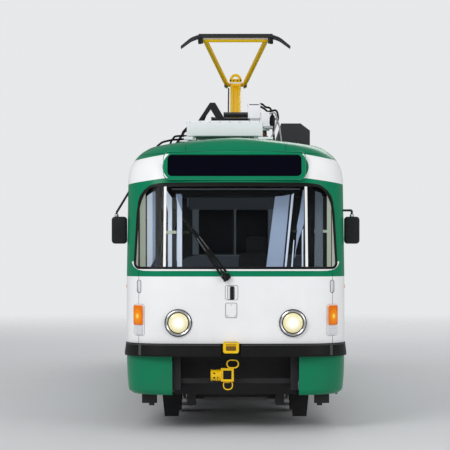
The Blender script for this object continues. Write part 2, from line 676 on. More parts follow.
for finish, names in finishes:
    for name in names:
        for place in nodes[name].material_slots:
            place.material = finish

# Trim colours for small pieces in the cab, on the front and on the roof. Columns: name, screen values, glow
trim_shades = [
    ("blind pale", (208, 213, 228), 0.55), ("blind dim", (150, 165, 195), 0.3), ("blind blue", (170, 182, 210), 0.25),
    ("blind shade", (46, 58, 88), 0), ("pillar grey", (104, 112, 124), 0.3), ("panel grey", (62, 66, 74), 0.45),
    ("panel light", (78, 84, 92), 0.45), ("frame grey", (50, 53, 60), 0.45), ("cab black", (13, 13, 15), 0),
    ("slat grey", (110, 112, 118), 0.15), ("olive line", (58, 60, 40), 0), ("trim beige", (183, 186, 168), 0.5),
    ("trim pale", (196, 194, 186), 0.5), ("lip green", (60, 140, 112), 0), ("outline dark", (22, 26, 28), 0),
    ("pocket white", (226, 227, 228), 0), ("joint grey", (74, 75, 77), 0), ("cable pale", (176, 178, 180), 0),
    ("fin grey", (122, 124, 130), 0), ("brown gold", (120, 84, 22), 0), ("amber dot", (255, 222, 70), 0),
]
trim = {name: worn_finish(name, colour(*shade), amount=0.08, gloss=(0.42, 0.62), bump=0.012, Specular_IOR_Level=0.25,
                          Emission_Color=colour(*shade), Emission_Strength=glow)
        for name, shade, glow in trim_shades}
seat_shell = worn_finish("seat shell", colour(66, 72, 80), amount=0.12, gloss=(0.38, 0.6), bump=0.02)
tinted_pane = worn_finish("tinted pane", colour(2, 2, 18), amount=0.04, gloss=(0.25, 0.5), bump=0.004,
                          Specular_IOR_Level=0.2)


def limits(x0, x1, z0, z1):
    """Corners of an upright rectangle."""
    return [(x0, z0), (x1, z0), (x1, z1), (x0, z1)]


def cut_plate(outline, y0, y1):
    """Flat plate cut to an outline of sideways places and heights, standing between two depths."""
    outline = np.array(outline, float)
    return grid(np.array([np.column_stack([outline[:, 0], np.full(len(outline), y), outline[:, 1]]) for y in (y0, y1)]),
                round_v=True, caps=True)


def even(path, step=0.02, closed=False):
    """The same path with its points at equal steps."""
    path = np.array(path, float)
    path = np.vstack([path, path[:1]]) if closed else path
    run = np.concatenate([[0], np.cumsum(np.linalg.norm(np.diff(path, axis=0), axis=1))])
    count = max(int(run[-1] / step), 8)
    at = np.linspace(0, run[-1], count + 1)[:count if closed else None]
    return np.column_stack([np.interp(at, run, measure) for measure in path.T])


def disc(wide, tall, sides=8):
    """Outline of an oval section."""
    turn = np.linspace(0, 2 * pi, sides, endpoint=False)
    return np.column_stack([wide / 2 * np.cos(turn), tall / 2 * np.sin(turn)])


def plate(wide, tall, thick, radius, edge=0.002, cols=24):
    """Rounded plate in columns, so that it can bend: its height shrinks along the corner circles at both ends."""
    across = wide / 2 * np.sin(np.linspace(-pi / 2, pi / 2, cols))
    past = np.maximum(np.abs(across) - (wide / 2 - radius), 0)
    half = tall / 2 - radius + np.sqrt(np.maximum(radius**2 - past**2, 1e-9))
    drawn = np.maximum(half - edge, 0.3 * half)
    ring = [(half, 0), (half, thick - edge), (drawn, thick), (-drawn, thick), (-half, thick - edge), (-half, 0)]
    return grid(np.stack([np.column_stack([across, up, np.full(cols, out)]) for up, out in ring], 1),
                round_v=True, caps=True)


def on_plane(path):
    """Places of a flat outline with no depth."""
    path = np.array(path, float)
    return np.column_stack([path, np.zeros(len(path))])


def edge_line(wide, tall, radius, thick, proud=None, step=0.014):
    """Bead carried round a rounded rectangle."""
    path = on_plane(rounded(wide, tall, radius, 8))
    return swept(even(path, step, True), disc(thick, proud or thick), closed=True)


def bead(path, wide, proud, step=0.02):
    """Flat bead along an open line of sideways places and heights."""
    return swept(even(on_plane(path), step), disc(wide, proud))


def both_halves(half):
    """An open line from one side to the other, given its half from the middle outwards."""
    half = np.array(half)
    return np.vstack([half[:0:-1] * (-1, 1), half])


def both_ends(shape):
    """A shape at the front and its reflection at the rear."""
    return mirrored(shape, 1)


def at_rear(shape):
    """A shape of the front moved to the same place at the rear."""
    points, faces = shape
    return points * np.array((1, -1, 1)), faces


def gather(shapes):
    """One shape from a run of shapes."""
    return join(*shapes)


def rod(start, end, step, radius, sides):
    """Straight round bar with rings at equal steps."""
    return tube(even([start, end], step), radius, sides)


def knob(profile, sides):
    """Round piece drawn about the origin, its outward end up."""
    return turned(profile, (0, 0, 0), (0, 0, 1), sides)


# Cab seen through the screen: blinds, pillars, locker and the lights and frames of the partition
cab_cuts = [
    ("blind pale", -6.25, -6.205, [(-1.027, 1.76), (-0.963, 1.76), (-0.963, 2.712), (-1.027, 2.665)]),
    ("blind dim", -6.25, -6.205, [(-0.963, 1.76), (-0.929, 1.76), (-0.929, 2.723), (-0.963, 2.712)]),
    ("blind shade", -6.27, -6.25, [(-0.991, 1.76), (-0.991, 1.831), (-0.899, 2.005), (-0.876, 1.831), (-0.876, 1.76)]),
    ("cab black", -6.25, -6.205, limits(-0.929, -0.859, 1.76, 2.79)),
    ("blind pale", -6.215, -6.205, [(-0.785, 1.76), (-0.739, 1.76), (-0.739, 2.643), (-0.773, 2.69), (-0.806, 2.742),
                                    (-0.808, 2.574), (-0.794, 2.527), (-0.785, 2.481)]),
    ("frame grey", -6.213, -6.205, limits(-0.736, -0.689, 1.76, 2.237)),
    ("blind pale", -6.215, -6.205, [(-0.68, 1.76), (-0.622, 1.76), (-0.622, 2.667), (-0.634, 2.69), (-0.694, 2.69),
                                    (-0.68, 2.585)]),
    ("blind dim", -6.219, -6.215, [(-0.692, 2.678), (-0.622, 2.481), (-0.622, 2.667), (-0.634, 2.69), (-0.692, 2.69)]),
    ("trim beige", -6.235, -6.205, limits(-0.953, -0.866, 2.229, 2.262)),
    ("trim beige", -6.235, -6.205, limits(-0.808, -0.686, 2.229, 2.262)),
    ("olive line", -6.235, -6.205, limits(-0.616, -0.541, 2.229, 2.258)),
    ("blind blue", -6.215, -6.205, [(0.345, 1.76), (0.542, 1.76), (0.629, 2.684), (0.55, 2.667), (0.458, 2.661)]),
    ("blind shade", -6.213, -6.205, [(0.552, 1.76), (0.566, 1.76), (0.647, 2.69), (0.633, 2.69)]),
    ("blind pale", -6.215, -6.205, [(0.562, 1.76), (0.583, 1.76), (0.678, 2.701), (0.649, 2.678)]),
    ("blind pale", -6.215, -6.205, [(0.638, 1.76), (0.658, 1.76), (0.682, 2.156), (0.672, 2.156)]),
    ("blind blue", -6.215, -6.205, [(0.684, 1.95), (0.701, 2.098), (0.713, 2.33), (0.748, 2.504), (0.783, 2.736),
                                    (0.794, 2.736), (0.794, 2.341), (0.736, 2.179), (0.701, 2.039), (0.69, 1.95)]),
    ("blind pale", -6.215, -6.205, [(0.769, 1.76), (0.786, 1.76), (0.786, 2.295), (0.769, 2.26)]),
    ("trim beige", -6.235, -6.205, limits(0.840, 1.060, 2.241, 2.272)),
    ("olive line", -6.233, -6.205, limits(0.666, 0.712, 2.243, 2.272)),
    ("cab black", -6.25, -6.205, limits(0.838, 0.912, 1.76, 2.79)),
    ("pillar grey", -6.25, -6.205, [(0.915, 1.76), (1.013, 1.76), (1.013, 2.654), (0.99, 2.7), (0.924, 2.723)]),
    ("trim beige", -6.42, -6.38, [(-1.1, 1.76), (-1.037, 1.76), (-1.037, 2.695), (-1.1, 2.603)]),
    ("olive line", -6.42, -6.38, [(-1.119, 1.76), (-1.1, 1.76), (-1.1, 2.603), (-1.119, 2.56)]),
    ("trim pale", -6.425, -6.39, [(-1.148, 1.76), (-1.119, 1.76), (-1.119, 2.44), (-1.14, 2.40)]),
    ("trim beige", -6.42, -6.38, [(1.052, 1.76), (1.098, 1.76), (1.098, 2.615), (1.052, 2.695)]),
    ("olive line", -6.42, -6.38, [(1.098, 1.76), (1.108, 1.76), (1.108, 2.56), (1.098, 2.6)]),
    ("trim pale", -6.425, -6.39, [(1.108, 1.76), (1.146, 1.76), (1.138, 2.42), (1.108, 2.522)]),
    ("slat grey", -6.209, -6.2, limits(-0.738, 0.748, 2.738, 2.755)),
    ("frame grey", -6.0, -5.6, [(0.62, 0.90), (0.964, 0.90), (0.964, 1.831), (0.93, 1.924), (0.895, 1.97),
                                (0.837, 1.976), (0.62, 1.976)]),
    ("panel grey", -5.285, -5.27, [(-0.64, 0.95), (-0.64, 1.914), (-0.626, 1.932), (-0.577, 1.956), (-0.517, 1.973),
                                   (-0.444, 1.982), (0.9, 1.982), (0.9, 0.95)]),
    ("panel light", -5.288, -5.285, limits(-0.44, 0.9, 1.968, 1.982)),
    ("frame grey", -5.283, -5.27, limits(-0.559, 0.70, 2.533, 2.696)),
    ("panel light", -5.283, -5.27, limits(-0.523, -0.448, 1.985, 2.533)),
    ("panel light", -5.283, -5.27, limits(-0.017, 0.005, 1.985, 2.533)),
    ("panel light", -5.283, -5.27, limits(0.394, 0.478, 1.985, 2.533)),
    ("slat grey", -5.290, -5.283, limits(-0.587, -0.568, 2.563, 2.721)),
]
for shade in dict.fromkeys(row[0] for row in cab_cuts):
    made = gather(cut_plate(outline, y0, y1) for name, y0, y1, outline in cab_cuts if name == shade)
    make_piece("cab_" + shade.replace(" ", "_"), made, trim[shade])
make_piece("cab_header", join(box(-1.206, 1.206, -6.205, -5.99, 2.655, 2.81, 0.02),
                              box(-1.19, 1.19, -6.43, -6.2, 1.735, 1.765, 0.02)), trim["cab black"])
make_piece("partition_panes", gather(onto(block(wide, 0.545, 0.005, 0.02, 0.002), (x, -5.252, 2.2565))
                                     for wide, x in ((0.426, -0.2305), (0.388, 0.199))), tinted_pane)

# Front face: white strip under the screen, lip of the screen rubber, slots, handle and flap
strip_path = both_halves([(0.0, 1.8135), (0.95, 1.8135), (1.04, 1.8145), (1.10, 1.826), (1.14, 1.849), (1.163, 1.88),
                          (1.170, 1.91)])
make_piece("screen_sill_strip", on_nose(bead(strip_path, 0.022, 0.012), 0, 0, 0.002), white_paint)
lip_path = both_halves([(0.0, 2.799), (0.70, 2.796), (0.80, 2.794), (0.88, 2.787), (0.965, 2.765), (1.035, 2.72),
                        (1.085, 2.655), (1.112, 2.56)])
make_piece("screen_upper_lip", on_nose(bead(lip_path, 0.022, 0.014), 0, 0, 0.001), gasket_rubber)
slot_at, flap_at = (-1.0915, 1.627), (-0.0485, 1.361)
slot_ring = on_nose(edge_line(0.045, 0.146, 0.022, 0.005), *slot_at, 0.001)
make_piece("slot_handle_rings", mirrored(slot_ring), trim["outline dark"])
slot_fill = on_nose(plate(0.040, 0.141, 0.0015, 0.020), *slot_at, 0.0005)
make_piece("slot_handle_pockets", mirrored(slot_fill), trim["pocket white"])
rims = [(0.142, 0.163, 0.018, -0.045, 1.560), (0.078, 0.148, 0.014, -0.0515, 1.557), (0.128, 0.165, 0.012, *flap_at)]
make_piece("handle_and_flap_rims", gather(on_nose(edge_line(wide, tall, radius, 0.004), x, z, 0.001)
                                          for wide, tall, radius, x, z in rims), trim["joint grey"])
make_piece("handle_grip", on_nose(plate(0.044, 0.146, 0.012, 0.012, 0.004), -0.0405, 1.555, 0.001),
           trim["outline dark"])
make_piece("flap_lid", on_nose(plate(0.118, 0.155, 0.003, 0.010), *flap_at, 0.0), white_paint)
flap_locks = shifted(knob([(0.007, 0), (0.007, 0.005), (0.004, 0.006)], 12),
                     [(-0.045, -0.06, 0), (0.045, -0.06, 0), (0, 0.062, 0)])
make_piece("flap_locks", on_nose(flap_locks, *flap_at, 0.001), bright_metal)

# Headlamps: domed lens, inner black ring, chrome ring and outer line
lamp_x, lamp_z = 0.643, 1.22
lens_profile = [(0.112, -0.002), (0.110, 0.004), (0.096, 0.012), (0.070, 0.018), (0.036, 0.0215), (0.0004, 0.0225)]


def lamp_places(y):
    """Middles of both headlamps at one depth."""
    return [(side * lamp_x, y, lamp_z) for side in (-1, 1)]


def lamp_dome_finish():
    """Headlamp glass: white at the middle, cream towards the rim, with upright flutes."""
    material, w, shader = new_material("headlamp dome")
    place = w.place()
    across, rise = w.minus(w.size(place["X"]), lamp_x), w.minus(place["Z"], lamp_z)
    flutes = w.zigzag(across, 0.007)
    tone = w.mix(w.step(w.reach(across, rise), 0.02, 0.105), colour(255, 255, 250), colour(232, 222, 168))
    tone = w.mix(w.step(flutes, 0.001, 0.0), tone, colour(205, 196, 150))
    w.feed(shader, Base_Color=tone, Emission_Color=tone, Emission_Strength=0.22,
           Normal=w.bump(w.plus(flutes, w.times(w.spots(80.0), 0.002)), 0.4, 0.002),
           Roughness=w.plus(0.12, w.times(w.spots(30.0), 0.05)), Coat_Weight=0.6, Coat_Roughness=0.04)
    return material


make_piece("headlamp_domes", gather(turned(lens_profile, at, sides=40) for at in lamp_places(-6.924)),
           lamp_dome_finish())
lamp_rings = [("headlamp_inner_rings", -6.924, 0.117, 0.006, 44, trim["outline dark"]),
              ("headlamp_chrome_rings", -6.931, 0.134, 0.0085, 48, lamp_chrome),
              ("headlamp_outer_lines", -6.927, 0.152, 0.0035, 48, trim["outline dark"])]
for name, y, radius, thick, steps, finish in lamp_rings:
    make_piece(name, gather(hoop(at, radius, thick, steps=steps) for at in lamp_places(y)), finish)

# Wiper: two rods that close on a joint, a single rod beyond, frame and rubber of the blade, hub cap
wiper_at = (-0.104, -6.94816, 1.7245)
rake_up = (0, sin(rake), cos(rake))
lean = radians(34.5)


def by_wiper(shape):
    """Turns a shape drawn along the wiper to the wiper's lean and lays it on the raked plane."""
    along, across = np.array([-sin(lean), cos(lean), 0]), np.array([cos(lean), sin(lean), 0])
    points = shape[0][:, :1] * across + shape[0][:, 1:2] * along + shape[0][:, 2:] * np.array([0, 0, 1])
    return onto((points, shape[1]), wiper_at, (1, 0, 0), rake_up)


rods = [tube(even([(side * 0.036, 0.0, 0.031), (side * 0.034, 0.10, 0.032), (side * 0.014, 0.60, 0.030),
                   (side * 0.006, 0.675, 0.030)], 0.05), 0.0125, 10) for side in (-1, 1)]
rods.append(rod((0, 0.66, 0.030), (0, 0.845, 0.022), 0.03, 0.0055, 8))
make_piece("wiper_rods", gather(map(by_wiper, rods)), gasket_rubber, "wiper")
rod_caps = [rod((side * 0.036, 0.03, 0.041), (side * 0.016, 0.56, 0.040), 0.05, 0.0028, 6) for side in (-1, 1)]
make_piece("wiper_rod_caps", gather(map(by_wiper, rod_caps)), trim["cable pale"], "wiper")
hub_cap = knob([(0.036, 0), (0.036, 0.030), (0.028, 0.042), (0.012, 0.046), (0.0004, 0.046)], 28)
lobes = shifted(knob([(0.017, 0), (0.017, 0.034), (0.010, 0.038), (0.0004, 0.038)], 16),
                [(0.030, -0.014, 0), (-0.030, -0.014, 0), (0, 0.036, 0)])
make_piece("wiper_hub_cap", by_wiper(join(hub_cap, lobes)), gasket_rubber, "wiper")
blade = rod((0.004, 0.29, 0.002), (0.004, 0.84, 0.002), 0.05, 0.005, 6)
claws = shifted(block(0.02, 0.03, 0.014, 0.004, 0.002), [(0, at, 0.0) for at in (0.33, 0.46, 0.60, 0.73, 0.82)])
make_piece("wiper_blade_rubber", gather(map(by_wiper, (blade, claws))), gasket_rubber, "wiper")

# Bumper: lip along the top edge, joint strips, frame and mouth of the cable socket
lips = [on_bumper(bead([(x, 0.974) for x in np.linspace(x0, x1, 30)], 0.010, 0.007), 0, 0)
        for x0, x1 in ((-1.24, -0.168), (0.068, 1.24))]
strips = [on_bumper(plate(0.030, 0.120, 0.004, 0.004), x, 0.914) for x in (-1.079, 1.079)]
socket_frame = join(onto(edge_line(0.168, 0.124, 0.02, 0.012), (-0.0515, -6.990, 0.949)),
                    onto(edge_line(0.118, 0.060, 0.014, 0.008), (-0.0515, -6.984, 0.938)))
mouth = onto(block(0.108, 0.046, 0.012, 0.010, 0.004), (-0.0515, -6.982, 0.934))
socket_hinge = tube([(x, -6.988, 1.008) for x in (-0.11, -0.05, 0.008)], 0.008)
for name, shape, finish in [("bumper_lips", gather(lips), trim["joint grey"]),
                            ("bumper_joint_strips", gather(strips), trim["joint grey"]),
                            ("socket_frames", socket_frame, gold_paint), ("socket_mouths", mouth, trim["brown gold"]),
                            ("socket_hinges", socket_hinge, bright_metal)]:
    make_piece(name, both_ends(shape), finish)

# Sign: rubber round the glass, a lip on the housing and a sill. Each lies a little off the middle of the glass
sign_at = np.array((-0.012, -6.93 + 1.2557 * sin(rake), 3.0))
sign_out = np.array((0, -cos(rake), sin(rake)))
for name, shape, out, finish in [
        ("sign_gasket", edge_line(1.53, 0.252, 0.04, 0.012), -0.006, gasket_rubber),
        ("sign_housing_lip", edge_line(1.616, 0.338, 0.07, 0.010, 0.007), 0.012, trim["lip green"]),
        ("sign_sill", bead([(-0.735, -0.137), (0.735, -0.137)], 0.012, 0.008, 0.05), 0.010, trim["trim pale"])]:
    make_piece(name, onto(shape, sign_at + out * sign_out, (1, 0, 0), rake_up), finish)

# Coupler: throats, collars and bolts of the folded head, repeated at the rear
throat = onto(block(0.092, 0.097, 0.006, 0.010, 0.002), (-0.0925, -6.892, 0.635))
holes = gather(turned([(0.010, 0), (0.010, 0.003), (0.008, 0.0035)], (-0.24, -6.922, z), sides=14)
               for z in (0.605, 0.655))
make_piece("coupler_throats", both_ends(join(throat, holes)), trim["cab black"])
collars = gather(hoop((x, -6.86, 0.63), 0.062, 0.006, (1, 0, 0), 30) for x in (-0.272, -0.214, -0.188))
coupler_rim = onto(edge_line(0.132, 0.138, 0.016, 0.011), (-0.0925, -6.900, 0.635))
ring_bolts = bolts([(x, -6.9, z) for z in (0.697, 0.573) for x in (-0.148, -0.037)], 0.008, 0.007)
make_piece("coupler_trim", both_ends(join(collars, coupler_rim, ring_bolts)), gold_paint)


def corner_skirt(low=0.404, high=0.842, start=0.713, end_y=-5.985, thick=0.02):
    """Two skins of one curve: the plan's flat, corner arc and side at each height, smaller towards the foot."""
    share = np.linspace(0, 1, 15)
    height = high - (high - low) * share
    lean_in, edge_in, edge_start = 0.026, 0.045, 0.84
    round_share = np.clip((share - edge_start) / (1 - edge_start), 0, 1)
    tuck = lean_in * share**2 + edge_in * (1 - np.sqrt(1 - round_share**2))
    rings = []
    for inset in (0.0, thick):
        half, corner = body_half - tuck - inset, 0.462 - inset
        flat = half - corner * (1 - sin(bulge))
        corner_y = -6.902 + 0.6 * tuck + inset + flat * tan(bulge / 2) + corner * cos(bulge)
        turn = np.linspace(bulge, pi / 2, 14)[:, None]
        front = start + (flat - start) * np.linspace(0, 1, 6)[:-1, None]
        bow = flat / sin(bulge)
        front_depth = corner_y - corner * cos(bulge) - flat * tan(bulge / 2) + bow - np.sqrt(bow**2 - front**2)
        arc_x, arc_y = half - corner + corner * np.sin(turn), corner_y - corner * np.cos(turn)
        side_y = corner_y + (end_y - corner_y) * np.linspace(0, 1, 5)[1:, None]
        x = np.vstack([front * np.ones(len(height)), arc_x, half * np.ones((4, 1))])
        y = np.vstack([front_depth, arc_y, side_y])
        rings.append(np.stack([x, y, np.broadcast_to(height, x.shape)], 2))
    return grid(np.concatenate([rings[0], rings[1][:, ::-1]], 1), round_v=True, caps=True)


# Corner skirts: plan of the nose, drawn in towards the foot, with a rounded lower edge
skirt_piece = make_piece("corner_skirt_shells", both_ends(mirrored(corner_skirt())), body_paint)
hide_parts("corner_skirts")


def lamp_set(wide, x, turn_wide, turn_x, mark_wide, mark_x):
    """One lamp plate: base, rim, turn lens and marker lens, by their widths and sideways places."""
    tall, radius, plate_z, turn_z, mark_z, proud = 0.352, 0.022, 1.249, 1.304, 1.138, 0.004
    return (on_nose(plate(wide, tall, 0.006, radius, 0.003), x, plate_z),
            on_nose(edge_line(wide, tall, radius, 0.005), x, plate_z, 0.001),
            on_nose(plate(turn_wide, 0.220, 0.026, 0.012, 0.007, 20), turn_x, turn_z, proud),
            on_nose(plate(mark_wide, 0.104, 0.018, 0.010, 0.004, 14), mark_x, mark_z, proud))


def turn_lens_finish():
    """Amber lamp glass: bright at the bulb, deeper orange towards the rim, with fine flutes."""
    material, w, shader = new_material("turn lamp glass")
    place = w.place()
    across = w.times(w.minus(w.size(place["X"]), 1.110), 1.3)
    away = w.reach(across, w.times(w.minus(place["Z"], 1.292), 0.75))
    tone = w.mix(w.step(away, 0.0, 0.035), colour(255, 226, 90), colour(238, 134, 6))
    tone = w.mix(w.step(away, 0.045, 0.075), tone, colour(222, 112, 0))
    w.feed(shader, Base_Color=tone, Emission_Color=tone, Emission_Strength=0.16,
           Normal=w.bump(w.zigzag(place["Z"], 0.006), 0.4, 0.002),
           Roughness=w.plus(0.14, w.times(w.spots(30.0), 0.05)), Specular_IOR_Level=0.3)
    return material


# Turn lamps and marker lamps on their plates. Those of the rear are narrower, to clear the tail lamps
front_set = lamp_set(0.118, -1.090, 0.106, -1.104, 0.078, -1.094)
rear_set = map(at_rear, lamp_set(0.084, -1.108, 0.074, -1.110, 0.060, -1.108))
lamp_base, lamp_rim, turn_lens, mark_lens = [join(mirrored(front), mirrored(rear))
                                             for front, rear in zip(front_set, rear_set)]
turn_piece = make_piece("turn_lamp_glass", turn_lens, turn_lens_finish())
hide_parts("turn_lamps")
mark_piece = make_piece("marker_lamp_glass", mark_lens, clear_lens)
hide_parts("marker_lamps")
make_piece("lamp_plates", lamp_base, white_paint)
make_piece("lamp_plate_rims", lamp_rim, trim["outline dark"])

# White roof box in front of the pantograph: bright front, lid with rolled edge, feet and screws
roof_white = worn_finish("roof box paint", colour(243, 244, 246), dust=colour(150, 148, 142), amount=0.12,
                         gloss=(0.35, 0.6), bump=0.01)
covers = [onto(block(0.911, 0.172, 0.010, 0.03, 0.008, 8), (-0.1305, -5.4, 3.502)),
          box(-0.594, 0.333, -5.408, -4.694, 3.572, 3.602, 0.035, 0.012),
          box(-0.624, -0.515, -5.42, -5.29, 3.371, 3.409, 0.01, 0.006),
          box(0.271, 0.452, -5.42, -5.29, 3.377, 3.405, 0.01, 0.006),
          box(-0.60, -0.50, -4.82, -4.72, 3.380, 3.412, 0.01), box(0.24, 0.34, -4.82, -4.72, 3.380, 3.412, 0.01),
          onto(block(0.152, 0.180, 0.006, 0.022, 0.005, 8), (0.2325, -4.6, 3.7815)),
          box(0.151, 0.314, -4.606, -4.396, 3.856, 3.877, 0.02, 0.008),
          onto(block(0.104, 0.178, 0.006, 0.016, 0.004, 8), (0.371, -4.6, 3.6755)),
          box(0.315, 0.427, -4.605, -4.396, 3.752, 3.770, 0.02, 0.006)]
make_piece("roof_box_covers", gather(covers), roof_white)
make_piece("roof_box_screws", bolts([(x, -5.412, 3.587) for x in np.linspace(-0.55, 0.29, 8)], 0.006, 0.004),
           bright_metal)
make_piece("roof_box_brackets", join(box(0.180, 0.305, -4.61, -4.45, 3.655, 3.694, 0.006),
                                     box(0.355, 0.468, -4.62, -4.46, 3.563, 3.594, 0.006)), trim["cable pale"])
motor = turned([(0.010, 0), (0.026, 0.012), (0.033, 0.05), (0.034, 0.125), (0.026, 0.163), (0.010, 0.175)],
               (0.462, -4.50, 3.569), (0, 0, 1), 20)
make_piece("roof_actuator", join(motor, box(0.415, 0.455, -4.52, -4.48, 3.63, 3.67, 0.004)), trim["cab black"])

# Cables and pipes on the roof
pale_lines = [
    [(0.425, -4.53, 3.75), (0.46, -4.53, 3.768), (0.497, -4.52, 3.757), (0.520, -4.50, 3.694), (0.510, -4.50, 3.62),
     (0.493, -4.50, 3.569), (0.47, -4.50, 3.50), (0.43, -4.50, 3.42), (0.41, -4.50, 3.31)],
    [(0.497, -4.47, 3.70), (0.524, -4.47, 3.669), (0.550, -4.47, 3.60), (0.560, -4.47, 3.53), (0.574, -4.47, 3.425),
     (0.582, -4.47, 3.29)],
]
black_lines = [
    [(0.27, -4.48, 3.80), (0.305, -4.48, 3.845), (0.36, -4.48, 3.82), (0.405, -4.48, 3.785), (0.455, -4.47, 3.795),
     (0.506, -4.46, 3.80), (0.527, -4.46, 3.765), (0.535, -4.46, 3.70), (0.515, -4.46, 3.63)],
    [(0.24, -4.42, 3.80), (0.28, -4.42, 3.87), (0.33, -4.40, 3.885), (0.38, -4.38, 3.85), (0.44, -4.36, 3.83),
     (0.47, -4.36, 3.72), (0.48, -4.36, 3.52), (0.50, -4.36, 3.31)],
    [(-0.98, -5.2, 3.22), (-0.955, -5.2, 3.30), (-0.92, -5.2, 3.333), (-0.88, -5.2, 3.357), (-0.774, -5.2, 3.381),
     (-0.70, -5.15, 3.39), (-0.60, -5.1, 3.40), (-0.55, -5.0, 3.41)],
    [(-0.80, -5.2, 3.27), (-0.79, -5.2, 3.35), (-0.762, -5.2, 3.395), (-0.735, -5.2, 3.424), (-0.66, -5.18, 3.432),
     (-0.60, -5.15, 3.432)],
    [(-0.655, -5.19, 3.43), (-0.645, -5.18, 3.468), (-0.625, -5.16, 3.50), (-0.595, -5.1, 3.535), (-0.585, -5.0, 3.54)],
    [(-0.52, -4.69, 3.50), (-0.50, -4.5, 3.52), (-0.47, -4.25, 3.56), (-0.43, -4.08, 3.66), (-0.39, -4.02, 3.76)],
    [(-0.30, -4.69, 3.46), (-0.28, -4.4, 3.47), (-0.25, -3.8, 3.52), (-0.20, -3.2, 3.60), (-0.18, -2.93, 3.66)],
]
make_piece("roof_pale_cables", gather(tube(flowing(line), 0.010, 10) for line in pale_lines), trim["cable pale"])
make_piece("roof_black_cables", gather(tube(flowing(line), 0.013, 10) for line in black_lines), gasket_rubber)

# Pantograph base: upper spring housing, light lines, insulators with ribs, foot bolts
make_piece("spring_housing", join(rod((-0.163, -2.815, 3.874), (0.194, -2.815, 3.874), 0.05, 0.034, 20),
                                  box(-0.150, -0.128, -2.835, -2.795, 3.82, 3.87, 0.003),
                                  box(0.160, 0.182, -2.835, -2.795, 3.82, 3.87, 0.003)), pan_black)
light_rows = [(-0.155, 0.186, -2.845, 3.892), (-0.29, 0.29, -2.841, 3.822), (-0.29, 0.29, -2.846, 3.762)]
make_piece("spring_tube_lines", gather(rod((x0, y, z), (x1, y, z), 0.05, 0.0035, 6) for x0, x1, y, z in light_rows),
           trim["slat grey"])
insulator = [(0.046, 0), (0.060, 0.01), (0.075, 0.022), (0.048, 0.034), (0.048, 0.046), (0.072, 0.058), (0.048, 0.070),
             (0.048, 0.082), (0.072, 0.094), (0.048, 0.106), (0.048, 0.118), (0.070, 0.130), (0.050, 0.142),
             (0.047, 0.165)]
foot_places = [(x, y, 3.45) for x in (-0.375, 0.375) for y in (-2.875, -1.225)]
make_piece("roof_insulators", gather(turned(insulator, at, (0, 0, 1), 28) for at in foot_places), insulator_brown)
make_piece("pantograph_foot_bolts", bolts([(x + a, y + b, 3.69) for x, y, z in foot_places for a in (-0.018, 0.018)
                                           for b in (-0.018, 0.018)], 0.008, 0.008, (0, 0, 1)), bright_metal)
gable_strip = rod((-0.271, -4.006, 3.875), (-0.136, -4.006, 3.701), 0.04, 0.008, 8)
gable_rim = tube(even([(x, -4.004, z) for x, z in ((-0.50, 3.52), (-0.34, 3.895), (-0.30, 3.905), (-0.26, 3.86))],
                      0.04), 0.006, 8)
make_piece("gable_light_lines", join(gable_strip, gable_rim), trim["cable pale"])

# Pantograph arms: knee arch with its cross bar, sleeves of the spread arms, pan fittings and carbons
knee_y, knee_z, head_y, head_z = -1.51754, 4.40031, -2.77997, 4.8786
arch_turn = np.linspace(0, pi, 17)
arch_path = np.column_stack([0.070 * np.cos(arch_turn), np.full(17, knee_y - 0.03), 4.45 + 0.085 * np.sin(arch_turn)])
make_piece("knee_arch", join(swept(arch_path, rounded(0.036, 0.05, 0.010, 3), (0, 1, 0)),
                             onto(block(0.172, 0.050, 0.05, 0.012, 0.006), (0, knee_y - 0.005, 4.455))),
           gold_paint, "lower_arm")
make_piece("knee_cross_bar", rod((-0.089, knee_y - 0.060, 4.420), (0.089, knee_y - 0.060, 4.420), 0.04, 0.011, 12),
           trim["trim pale"], "lower_arm")
knee_caps = [turned([(0.026, -0.02), (0.026, 0.004), (0.020, 0.012)], (side * 0.15, knee_y, knee_z), (side, 0, 0), 18)
             for side in (-1, 1)]
make_piece("knee_bolts", join(bolts([(x, knee_y - 0.062, 4.455) for x in (-0.07, -0.025, 0.025, 0.07)], 0.010, 0.008),
                              *knee_caps), pan_black, "lower_arm")
arm_foot, arm_top = np.array((0.125, knee_y, knee_z)), np.array((0.410, head_y, head_z))
sleeve_share = np.array([0.03, 0.10, 0.5, 0.93, 0.985])[:, None]
sleeve = tube(arm_foot + (arm_top - arm_foot) * sleeve_share, [0.029, 0.0335, 0.0335, 0.0335, 0.028], 18)
make_piece("upper_arm_sleeves", mirrored(sleeve), gold_paint, "upper_arm")
arm_nut = turned([(0.02, 0), (0.022, 0.02), (0.014, 0.03)], (0, 0, 0), (0, 0, -1), 14)
nut_at = arm_foot + (arm_top - arm_foot) * 0.05 + np.array((0, 0, -0.04))
make_piece("upper_arm_feet", mirrored(shifted(arm_nut, [nut_at])), pan_black, "upper_arm")
lower_tilt = radians(28.5)
lower_dir = np.array((0, cos(lower_tilt), sin(lower_tilt)))
lower_up = np.array((0, -sin(lower_tilt), cos(lower_tilt)))
pivot = np.array((0, -2.66, 3.78))
edge_starts = [pivot + lower_dir * 0.05 + lower_up * 0.038 + np.array((x, 0, 0)) for x in (-0.052, 0.052)]
make_piece("lower_arm_edges", gather(rod(start, start + lower_dir * 1.12, 0.1, 0.008, 8) for start in edge_starts),
           gold_paint, "lower_arm")
control = [pivot + np.array((-0.10, 0.02, -0.03)), pivot + lower_dir * 0.6 + np.array((-0.100, 0, -0.03)),
           pivot + lower_dir * 1.22 + np.array((-0.098, 0, -0.02))]
make_piece("pantograph_control_rod", tube(even(control, 0.08), 0.010, 10), pan_black, "lower_arm")
bars = [(side, head_y + side * 0.065) for side in (-1, 1)]
make_piece("carbon_strips", gather(box(-0.50, 0.50, y - 0.019, y + 0.019, 4.944, 4.962, 0.004, 0.004)
                                   for side, y in bars), carbon, "pan_head")
